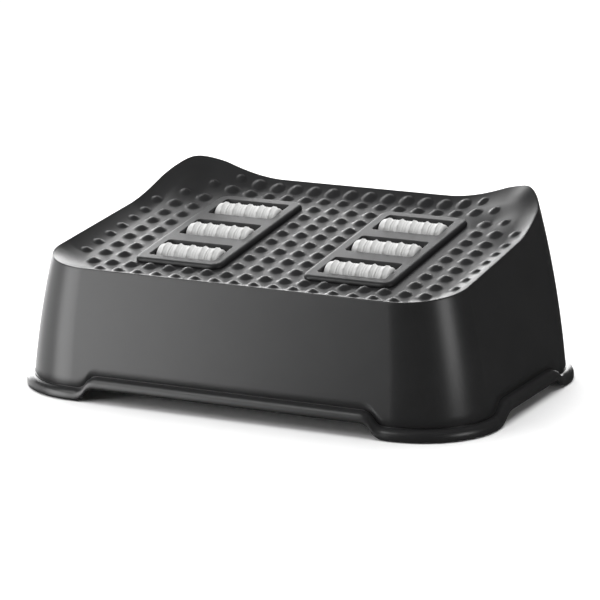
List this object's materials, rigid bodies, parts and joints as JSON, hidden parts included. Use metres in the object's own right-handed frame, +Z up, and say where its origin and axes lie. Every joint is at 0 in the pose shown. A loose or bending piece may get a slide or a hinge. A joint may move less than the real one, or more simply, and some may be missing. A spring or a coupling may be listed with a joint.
{
  "type": "step stool with massage rollers",
  "caption": "Low charcoal plastic step stool with a tilted, nubbed deck, raised rear corners and two panels of white massage rollers",
  "frame": {"origin": "on the floor, under the middle of the base", "axes": "+X to the sitter's right along the longest side, +Y away from the sitter, +Z up"},
  "size_m": [0.407, 0.281, 0.1532],
  "materials": {
    "body_plastic": "moulded",
    "frame_plastic": "moulded",
    "roller_plastic": "moulded",
    "axle_steel": "ground",
    "screw_steel": "zinc plated",
    "foot_rubber": "moulded"
  },
  "bodies": {
    "stool": {"body_shell": "body_plastic", "left_roller_frame": "frame_plastic", "right_roller_frame": "frame_plastic", "left_roller_tray": "frame_plastic", "right_roller_tray": "frame_plastic", "left_tray_screws": "screw_steel", "right_tray_screws": "screw_steel", "left_front_axle": "axle_steel", "left_middle_axle": "axle_steel", "left_rear_axle": "axle_steel", "right_front_axle": "axle_steel", "right_middle_axle": "axle_steel", "right_rear_axle": "axle_steel", "front_left_foot": "foot_rubber", "front_right_foot": "foot_rubber", "rear_left_foot": "foot_rubber", "rear_right_foot": "foot_rubber"},
    "left_front_roller_body": {"left_front_roller": "roller_plastic"},
    "left_middle_roller_body": {"left_middle_roller": "roller_plastic"},
    "left_rear_roller_body": {"left_rear_roller": "roller_plastic"},
    "right_front_roller_body": {"right_front_roller": "roller_plastic"},
    "right_middle_roller_body": {"right_middle_roller": "roller_plastic"},
    "right_rear_roller_body": {"right_rear_roller": "roller_plastic"}
  },
  "joints": [
    {"name": "left_front_roller_spin", "type": "hinge", "parent": "stool", "child": "left_front_roller_body", "pos_m": [-0.07425, -0.04832, 0.10182], "axis": [1, 0, 0], "continuous": true},
    {"name": "left_middle_roller_spin", "type": "hinge", "parent": "stool", "child": "left_middle_roller_body", "pos_m": [-0.07425, 0.00373, 0.10865], "axis": [1, 0, 0], "continuous": true},
    {"name": "left_rear_roller_spin", "type": "hinge", "parent": "stool", "child": "left_rear_roller_body", "pos_m": [-0.07425, 0.05578, 0.11549], "axis": [1, 0, 0], "continuous": true},
    {"name": "right_front_roller_spin", "type": "hinge", "parent": "stool", "child": "right_front_roller_body", "pos_m": [0.07425, -0.04832, 0.10182], "axis": [1, 0, 0], "continuous": true},
    {"name": "right_middle_roller_spin", "type": "hinge", "parent": "stool", "child": "right_middle_roller_body", "pos_m": [0.07425, 0.00373, 0.10865], "axis": [1, 0, 0], "continuous": true},
    {"name": "right_rear_roller_spin", "type": "hinge", "parent": "stool", "child": "right_rear_roller_body", "pos_m": [0.07425, 0.05578, 0.11549], "axis": [1, 0, 0], "continuous": true}
  ]
}
